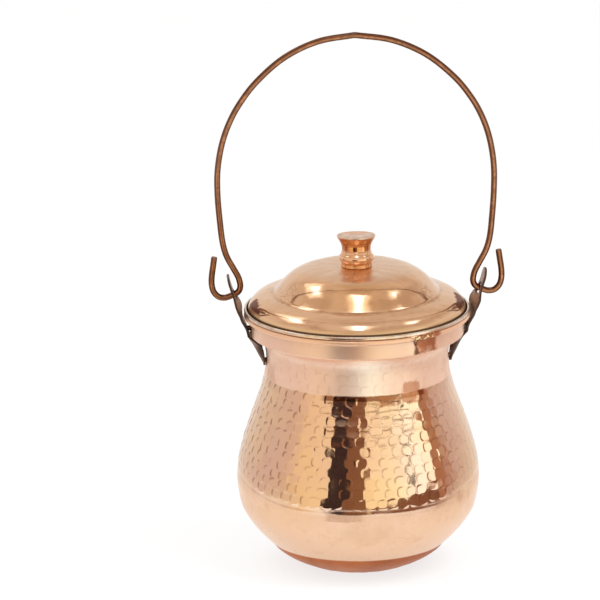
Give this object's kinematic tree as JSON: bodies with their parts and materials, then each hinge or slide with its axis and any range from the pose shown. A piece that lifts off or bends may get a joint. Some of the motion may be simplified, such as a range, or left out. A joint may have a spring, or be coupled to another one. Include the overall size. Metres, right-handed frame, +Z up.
{
  "type": "stew pot",
  "caption": "Round-bellied hammered copper stew pot with a banded neck, a domed lid with a turned knob that lifts off, and a wire bail that swings on two strap ears.",
  "frame": {"origin": "centre of the flat base that the pot stands on", "axes": "+Z up along the pot's axis; the ears stand at +X and -X and the bail swings about X"},
  "size_m": [0.2138, 0.1748, 0.3941],
  "materials": {
    "hammered_copper": "bright copper, planished with a hammer on the belly, tinned inside and over the lip, dull foot",
    "band_copper": "bright copper, satin, turned round the collar",
    "ear_iron": "strap iron, heat-darkened and oxidised, worn grey on its flat",
    "rivet_iron": "dark iron, dressed flush outside",
    "bail_copper": "drawn wire, copper coloured, darkened",
    "lid_copper": "polished spun copper, tinned underneath",
    "knob_copper": "polished deep orange copper, turned",
    "stud_copper": "plain copper",
    "washer_brass": "plain brass"
  },
  "bodies": {
    "pot": {"pot_body": "hammered_copper", "rim_band": "band_copper", "ear_right": "ear_iron", "ear_left": "ear_iron", "ear_rivet_right_low": "rivet_iron", "ear_rivet_right_high": "rivet_iron", "ear_rivet_left_low": "rivet_iron", "ear_rivet_left_high": "rivet_iron"},
    "lid": {"lid_shell": "lid_copper", "lid_knob": "knob_copper", "knob_stud": "stud_copper", "knob_washer": "washer_brass"},
    "bail": {"bail_wire": "bail_copper"}
  },
  "joints": [
    {"name": "lid_lift", "type": "slide", "parent": "pot", "child": "lid", "axis": [0, 0, 1], "range_m": [0, 0.12]},
    {"name": "bail_swing", "type": "hinge", "parent": "pot", "child": "bail", "pos_m": [0, 0, 0.2017], "axis": [1, 0, 0], "range_deg": [-95, 110]}
  ]
}
